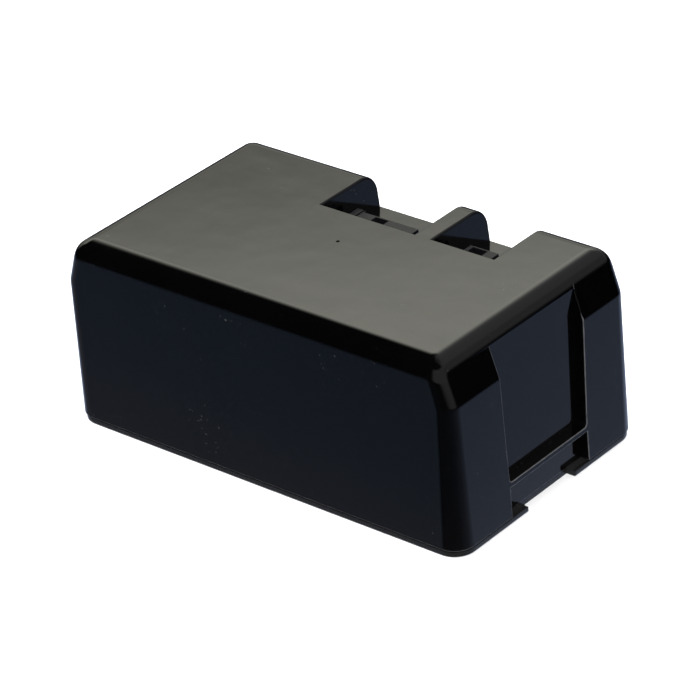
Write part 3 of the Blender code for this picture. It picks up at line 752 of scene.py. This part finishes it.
BLOCK_BOTTOM_Z, FLANGE = 50.4, 1.6
SLOT_A_X, SLOT_B_X = (-8.9, -3.6), (31.7, 37.5)
SLOT_FRONT_Y, SLOT_A_BACK_Y, SLOT_B_BACK_Y = 20.6, 29.9, 30.3
SLOT_FLOOR_Z = 55.9
TAIL_Y = 25.4
TAIL_HALF = (1.6, 1.0)
BAND_X, GROOVE_X, GROOVE_FLOOR_Z = (-18.3, -15.7), (-15.7, -15.1), 56.8
BLOCK_EDGE_R = 0.22


def block_edge_width(p, edge):
    """Rounding round the top and along the back above the well floor."""
    on_back = p.z > WELL_FLOOR_Z and p.y > 28
    return BLOCK_EDGE_R if p.z > BLOCK_TOP_Z - 0.1 or on_back else 0.0


def make_block(name, span, back_y, slot, slot_back_y, banded):
    """Block on a flange with its socket slot; the banded one has a groove beside a higher band."""
    body_low = (span[0], BLOCK_FRONT_Y, BLOCK_BOTTOM_Z)
    block = box(name + "_body", body_low, (span[1], back_y, BLOCK_TOP_Z), MATTE)
    flange_low = (span[0] - FLANGE, BLOCK_FRONT_Y - FLANGE, BLOCK_BOTTOM_Z - 1.0)
    parts = [box("flange", flange_low, (span[1] + FLANGE, BAND_BACK_Y + FLANGE, UNDER_WELL_Z - GAP))]
    if banded:
        band_low = (BAND_X[0], BLOCK_FRONT_Y, UNDER_WELL_Z - 1)
        parts.append(box("band", band_low, (BAND_X[1] + 1.0, BAND_BACK_Y, BLOCK_TOP_Z)))
    carve(block, parts, "UNION")
    middle = (slot[0] + slot[1]) / 2
    half_x, half_y = TAIL_HALF
    tail_low = (middle - half_x, TAIL_Y - half_y, BLOCK_BOTTOM_Z - 3)
    cutters = [
        box("slot", (slot[0], SLOT_FRONT_Y, SLOT_FLOOR_Z), (slot[1], slot_back_y, BLOCK_TOP_Z + 5)),
        box("tail", tail_low, (middle + half_x, TAIL_Y + half_y, SLOT_FLOOR_Z + 1)),
    ]
    if banded:
        groove_low = (GROOVE_X[0], BLOCK_FRONT_Y + 1, GROOVE_FLOOR_Z)
        cutters.append(box("groove", groove_low, (GROOVE_X[1], BAND_BACK_Y + 3, BLOCK_TOP_Z + 3)))
    carve(block, cutters)
    round_edges(block, block_edge_width, 2)
    shade(block)
    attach(block, "housing")
    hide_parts(name)


make_block("contact_block_a", BLOCK_A_X, BLOCK_A_BACK_Y, SLOT_A_X, SLOT_A_BACK_Y, True)
make_block("contact_block_b", BLOCK_B_X, BLOCK_B_BACK_Y, SLOT_B_X, SLOT_B_BACK_Y, False)

# ---------------------------------------------------------------- floor, world and lights (metres)

FLOOR_Z = -0.00005
FLOOR_OPENING, FLOOR_HALF = (0.0775, 0.0445), (6.0, 6.0)


def make_floor():
    """Pale floor, left open under the box so that the underside can be seen."""
    mat, tree, shader = new_material("floor_paint")
    vector = coords(tree)
    tone = noise(tree, vector, 3.0, 3.0)
    link(tree, mix_colour(tree, tone, (0.9, 0.9, 0.9), (0.93, 0.93, 0.93)), shader.inputs["Base Color"])
    shader.inputs["Roughness"].default_value = 0.9
    shader.inputs["Specular IOR Level"].default_value = 0.0
    data = bpy.data.meshes.new("floor")
    verts = []
    for x, y in (FLOOR_OPENING, FLOOR_HALF):
        verts += [(-x, -y, FLOOR_Z), (x, -y, FLOOR_Z), (x, y, FLOOR_Z), (-x, y, FLOOR_Z)]
    data.from_pydata(verts, [], [(i, i + 4, (i + 1) % 4 + 4, (i + 1) % 4) for i in range(4)])
    data.materials.append(mat)
    floor = bpy.data.objects.new("floor", data)
    SCENE.collection.objects.link(floor)
    floor.visible_glossy = False


def direction_band(tree, z, low, high, soft):
    """1 where the direction's height lies between low and high, with soft ends."""
    rise = remap_smooth(tree, z, low - soft, low + soft, 0.0, 1.0)
    fall = remap_smooth(tree, z, high - soft, high + soft, 1.0, 0.0)
    return math_node(tree, "MULTIPLY", rise, fall)


def heading_window(tree, heading, opens, closes):
    """1 between two headings, fading in over opens and out over closes."""
    rise = remap_smooth(tree, heading, opens[0], opens[1], 0.0, 1.0)
    fall = remap_smooth(tree, heading, closes[0], closes[1], 1.0, 0.0)
    return math_node(tree, "MULTIPLY", rise, fall)


def colour_stops(tree, value, low, high, stops):
    """Colour along value, whose range low to high is cut at the given stops."""
    ramp = tree.nodes.new("ShaderNodeValToRGB")
    elements = ramp.color_ramp.elements
    while len(elements) < len(stops):
        elements.new(1.0)
    for element, (at, colour) in zip(elements, stops):
        element.position = (at - low) / (high - low)
        element.color = (*colour, 1.0)
    link(tree, remap(tree, value, low, high, 0.0, 1.0), ramp.inputs["Fac"])
    return ramp.outputs["Color"]


def scaled(tree, colour, factor):
    node = tree.nodes.new("ShaderNodeVectorMath")
    node.operation = "SCALE"
    if isinstance(colour, tuple):
        node.inputs[0].default_value = colour
    else:
        link(tree, colour, node.inputs[0])
    if isinstance(factor, (int, float)):
        node.inputs["Scale"].default_value = factor
    else:
        link(tree, factor, node.inputs["Scale"])
    return node.outputs["Vector"]


def summed(tree, parts):
    total = parts[0]
    for part in parts[1:]:
        node = tree.nodes.new("ShaderNodeVectorMath")
        node.operation = "ADD"
        link(tree, total, node.inputs[0])
        link(tree, part, node.inputs[1])
        total = node.outputs["Vector"]
    return total


def make_world():
    """Studio around the box, told apart by heading (degrees from +X) and height of the direction.

    Behind left stands the bright backdrop that the lid mirrors, behind right a dim wall, and on the
    near side a dim panel. Below the dark horizon lies the bluish table bounce that the front and end
    walls mirror.
    """
    world = bpy.data.worlds.new("studio")
    SCENE.world = world
    world.use_nodes = True
    tree = world.node_tree
    background = tree.nodes["Background"]
    tex = tree.nodes.new("ShaderNodeTexCoord")
    split = tree.nodes.new("ShaderNodeSeparateXYZ")
    link(tree, tex.outputs["Generated"], split.inputs["Vector"])
    height = split.outputs["Z"]
    turn = math_node(tree, "ARCTAN2", split.outputs["Y"], split.outputs["X"])
    heading = math_node(tree, "MULTIPLY", turn, 180.0 / math.pi)

    left_side = remap_smooth(tree, heading, 92.0, 122.0, 0.0, 1.0)
    backdrop = math_node(tree, "MULTIPLY", direction_band(tree, height, 0.12, 0.66, 0.1), left_side)
    glow = remap(tree, height, 0.446, 0.491, 0.73, 1.93)
    backdrop = math_node(tree, "MULTIPLY", backdrop, glow)

    right_side = heading_window(tree, heading, (5.0, 38.0), (110.0, 140.0))
    right_wall = math_node(tree, "MULTIPLY", right_side, direction_band(tree, height, 0.16, 0.95, 0.12))
    low_dip = remap_smooth(tree, height, 0.5, 0.62, 0.72, 1.0)
    right_wall = math_node(tree, "MULTIPLY", right_wall, low_dip)

    near_side = heading_window(tree, heading, (-95.0, -65.0), (8.0, 32.0))
    near_side = math_node(tree, "MULTIPLY", near_side, direction_band(tree, height, -0.05, 0.8, 0.06))

    front_slope = math_node(tree, "MULTIPLY", math_node(tree, "ADD", turn, math.radians(135.4)), -0.395)
    front_fall = math_node(tree, "SUBTRACT", front_slope, height)
    front = colour_stops(tree, front_fall, 0.44, 0.5, [
        (0.45, (0.098, 0.140, 0.203)),
        (0.47, (0.12, 0.166, 0.238)),
        (0.478, (0.14, 0.162, 0.22)),
        (0.495, (0.175, 0.185, 0.235)),
    ])
    front_on = remap_smooth(tree, heading, -129.0, -112.0, 1.0, 0.0)
    end = colour_stops(tree, math_node(tree, "MULTIPLY", height, -1.0), 0.44, 0.56, [
        (0.465, (0.195, 0.24, 0.35)),
        (0.49, (0.215, 0.26, 0.375)),
        (0.53, (0.3, 0.35, 0.48)),
        (0.56, (0.34, 0.38, 0.5)),
    ])
    end_steps = ((-125, 0.0), (-100, 0.02), (-60, 0.024), (-25, 0.04), (14, 0.11), (49, 0.25), (52, 0.29))
    end_steps += ((70, 0.5), (150, 0.5))
    end_on = colour_stops(tree, heading, -180.0, 180.0, [(at, (v, v, v)) for at, v in end_steps])
    end_strength = math_node(tree, "MULTIPLY", end_on, 4.0)
    below = remap_smooth(tree, height, -0.34, -0.14, 1.0, 0.0)
    steep = remap_smooth(tree, height, -0.93, -0.72, 1.0, 0.0)

    total = summed(tree, [
        scaled(tree, (1.0, 0.99, 0.87), backdrop),
        scaled(tree, (0.42, 0.42, 0.43), right_wall),
        scaled(tree, (0.36, 0.36, 0.37), near_side),
        scaled(tree, scaled(tree, front, front_on), below),
        scaled(tree, scaled(tree, end, end_strength), below),
        scaled(tree, (0.5, 0.5, 0.52), steep),
    ])
    link(tree, total, background.inputs["Color"])


def make_lights():
    """Soft light for the floor and the matte surfaces; it does not mirror in the gloss."""
    for name, location, size, power in (
        ("key_soft", (-0.5, 0.4, 1.6), 1.8, 38.0),
        ("fill_soft", (1.1, -0.8, 1.2), 1.6, 50.0),
        ("left_soft", (-1.0, -1.0, 1.2), 1.6, 36.0),
    ):
        data = bpy.data.lights.new(name, "AREA")
        data.size = size
        data.energy = power
        lamp = bpy.data.objects.new(name, data)
        lamp.location = location
        lamp.rotation_mode = "QUATERNION"
        lamp.rotation_quaternion = Vector(location).to_track_quat("Z", "Y")
        lamp.visible_glossy = False
        SCENE.collection.objects.link(lamp)


make_floor()
make_world()
make_lights()
SCENE.view_settings.view_transform = "Standard"
